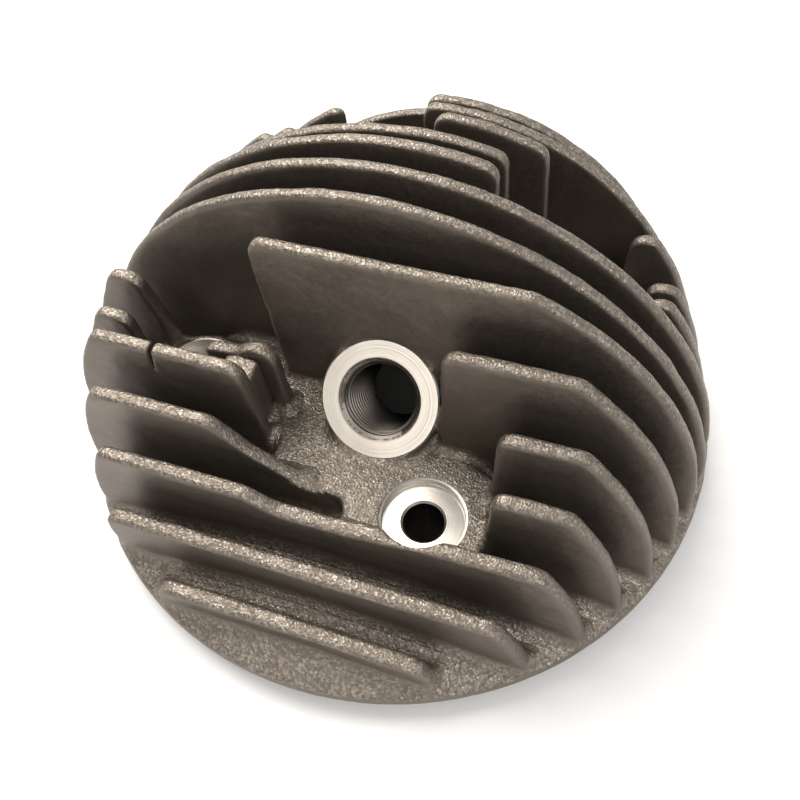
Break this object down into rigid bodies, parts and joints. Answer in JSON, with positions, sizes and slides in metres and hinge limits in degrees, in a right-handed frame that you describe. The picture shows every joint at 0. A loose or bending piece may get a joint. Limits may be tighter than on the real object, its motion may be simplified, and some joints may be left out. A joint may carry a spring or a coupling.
{
  "type": "cylinder head",
  "caption": "Round die-cast cylinder head with parallel cooling fins, an inclined sparking plug seat and a four-stud pattern.",
  "frame": {"origin": "centre of the sealing face, on the cylinder axis", "axes": "+Z along the cylinder axis away from the cylinder, +X along the cooling fins, -Y towards the side the sparking plug leans to"},
  "size_m": [0.135, 0.135, 0.0651],
  "materials": {
    "cast_aluminium": "as cast, satin, sandy in the recesses",
    "machined_aluminium": "turned"
  },
  "bodies": {
    "root": {"base_disc": "cast_aluminium", "chamber_dome": "cast_aluminium", "deck": "cast_aluminium", "fin_01": "cast_aluminium", "fin_02": "cast_aluminium", "fin_03": "cast_aluminium", "fin_04_left": "cast_aluminium", "fin_04_right": "cast_aluminium", "fin_05_left": "cast_aluminium", "fin_05_right": "cast_aluminium", "fin_06_left": "cast_aluminium", "fin_06_ridge": "cast_aluminium", "fin_06_right": "cast_aluminium", "fin_07": "cast_aluminium", "fin_07_left": "cast_aluminium", "fin_08": "cast_aluminium", "fin_09": "cast_aluminium", "fin_10": "cast_aluminium", "fin_10_right": "cast_aluminium", "fin_11": "cast_aluminium", "fin_11_right": "cast_aluminium", "fin_12": "cast_aluminium", "fin_12_left": "cast_aluminium", "fin_12_right": "cast_aluminium", "fin_13": "cast_aluminium", "fin_13_left": "cast_aluminium", "fin_14": "cast_aluminium", "fin_14_left": "cast_aluminium", "fin_15": "cast_aluminium", "fin_16": "cast_aluminium", "fin_web": "cast_aluminium", "plug_boss": "machined_aluminium", "sealing_ring": "machined_aluminium", "stud_boss_1": "machined_aluminium", "stud_boss_2": "machined_aluminium", "stud_boss_3": "machined_aluminium", "stud_boss_4": "machined_aluminium"}
  },
  "joints": []
}
